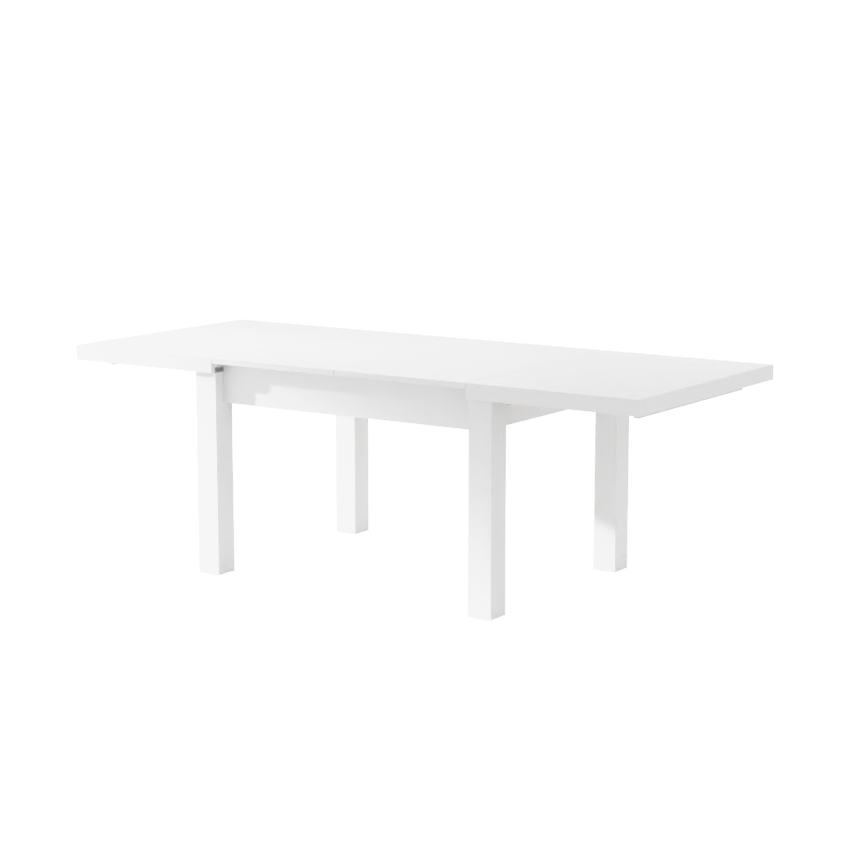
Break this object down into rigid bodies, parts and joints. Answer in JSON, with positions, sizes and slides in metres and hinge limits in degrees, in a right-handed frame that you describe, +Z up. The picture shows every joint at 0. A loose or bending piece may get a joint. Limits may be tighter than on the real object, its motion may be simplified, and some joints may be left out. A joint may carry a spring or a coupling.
{
  "type": "extendable dining table",
  "caption": "White rectangular dining table with square legs, two sliding end leaves on telescopic ball slides and loose centre inserts that lift out.",
  "frame": {"origin": "on the floor, midway between the four legs, with the table fully extended", "axes": "+X along the table's length towards the right leaf, +Y across the table towards the back, +Z up"},
  "size_m": [2.2, 0.9, 0.74],
  "materials": {
    "white_laminate": "satin white melamine laminate",
    "beech": "planed beech",
    "zinc_steel": "zinc plated",
    "zinc_fasteners": "zinc plated",
    "cage_plastic": "moulded",
    "glide_plastic": "moulded",
    "felt": "pressed felt"
  },
  "bodies": {
    "frame": {"leg_front_left": "white_laminate", "leg_front_right": "white_laminate", "leg_back_left": "white_laminate", "leg_back_right": "white_laminate", "glide_front_left": "glide_plastic", "glide_front_right": "glide_plastic", "glide_back_left": "glide_plastic", "glide_back_right": "glide_plastic", "front_apron": "white_laminate", "back_apron": "white_laminate", "left_end_apron": "white_laminate", "right_end_apron": "white_laminate", "centre_rail": "beech", "front_mounting_rail": "beech", "back_mounting_rail": "beech", "corner_brackets": "zinc_steel", "leg_bolts": "zinc_fasteners", "leg_washers": "zinc_fasteners", "leg_nuts": "zinc_fasteners", "bracket_screws": "zinc_fasteners", "slide_outer_front_left": "zinc_steel", "slide_outer_front_right": "zinc_steel", "slide_outer_back_left": "zinc_steel", "slide_outer_back_right": "zinc_steel", "slide_outer_screws": "zinc_fasteners"},
    "left_slide_middles": {"slide_middle_front_left": "zinc_steel", "slide_middle_back_left": "zinc_steel", "left_ball_cages": "cage_plastic"},
    "right_slide_middles": {"slide_middle_front_right": "zinc_steel", "slide_middle_back_right": "zinc_steel", "right_ball_cages": "cage_plastic"},
    "left_leaf": {"slide_inner_front_left": "zinc_steel", "slide_inner_back_left": "zinc_steel", "left_slide_inner_screws": "zinc_fasteners", "left_leaf_board": "white_laminate", "left_leaf_front_edge": "white_laminate", "left_leaf_back_edge": "white_laminate", "left_leaf_end_edge": "white_laminate", "left_front_runner": "beech", "left_back_runner": "beech", "left_cross_strip": "white_laminate", "left_leaf_screws": "zinc_fasteners"},
    "right_leaf": {"slide_inner_front_right": "zinc_steel", "slide_inner_back_right": "zinc_steel", "right_slide_inner_screws": "zinc_fasteners", "right_leaf_board": "white_laminate", "right_leaf_front_edge": "white_laminate", "right_leaf_back_edge": "white_laminate", "right_leaf_end_edge": "white_laminate", "right_front_runner": "beech", "right_back_runner": "beech", "right_cross_strip": "white_laminate", "right_leaf_screws": "zinc_fasteners"},
    "left_insert": {"left_insert": "white_laminate", "left_insert_cleats": "beech", "left_insert_pads": "felt"},
    "right_insert": {"right_insert": "white_laminate", "right_insert_cleats": "beech", "right_insert_pads": "felt"}
  },
  "joints": [
    {"name": "left_leaf_slide", "type": "slide", "parent": "frame", "child": "left_leaf", "axis": [1, 0, 0], "range_m": [0, 0.5]},
    {"name": "left_slide_middle_travel", "type": "slide", "parent": "frame", "child": "left_slide_middles", "axis": [1, 0, 0], "range_m": [0, 0.25]},
    {"name": "left_insert_lift", "type": "slide", "parent": "frame", "child": "left_insert", "axis": [0, 0, 1], "range_m": [0, 0.5]},
    {"name": "right_leaf_slide", "type": "slide", "parent": "frame", "child": "right_leaf", "axis": [-1, 0, 0], "range_m": [0, 0.5]},
    {"name": "right_slide_middle_travel", "type": "slide", "parent": "frame", "child": "right_slide_middles", "axis": [-1, 0, 0], "range_m": [0, 0.25]},
    {"name": "right_insert_lift", "type": "slide", "parent": "frame", "child": "right_insert", "axis": [0, 0, 1], "range_m": [0, 0.5]}
  ],
  "couplings": [
    {"joint": "left_slide_middle_travel", "follows": "left_leaf_slide", "ratio": 0.5},
    {"joint": "left_insert_lift", "follows": "left_leaf_slide", "ratio": 1},
    {"joint": "right_slide_middle_travel", "follows": "right_leaf_slide", "ratio": 0.5},
    {"joint": "right_insert_lift", "follows": "right_leaf_slide", "ratio": 1}
  ]
}
